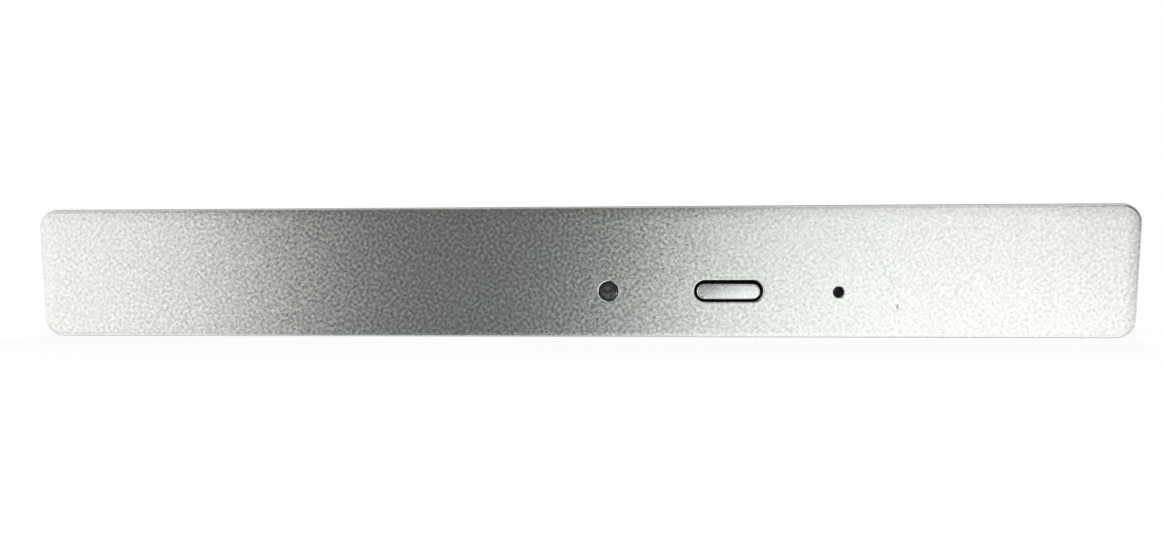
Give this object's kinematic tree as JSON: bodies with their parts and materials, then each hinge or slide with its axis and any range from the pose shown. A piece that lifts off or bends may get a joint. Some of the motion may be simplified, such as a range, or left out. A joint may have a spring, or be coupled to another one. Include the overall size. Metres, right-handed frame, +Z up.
{
  "type": "optical drive bezel",
  "caption": "Slim silver bezel for a tray-loading optical drive, with an eject button on a spring arm, a lamp lens, a manual release hole and snap clips behind its rim.",
  "frame": {"origin": "middle of the seat on the tray, the flat back of the rim, at half the face's height", "axes": "+X to the right seen from the front, +Y from the face back to the tray, +Z up; the face looks towards -Y"},
  "size_m": [0.1318, 0.0108, 0.0156],
  "materials": {
    "silver_paint": "satin silver metallic paint on a dark moulding",
    "button_paint": "satin silver metallic paint, a little warmer than the face",
    "smoke_lens": "smoke-tinted, moulded"
  },
  "bodies": {
    "bezel": {"faceplate": "silver_paint", "light_pipe": "smoke_lens"},
    "button": {"eject_button": "button_paint"}
  },
  "joints": [
    {"name": "eject_press", "type": "hinge", "parent": "bezel", "child": "button", "pos_m": [0.0387, -0.00187, 0.00225], "axis": [0, 0, -1], "range_deg": [0, 1.4], "stiffness_Nm_per_rad": 0.022}
  ]
}
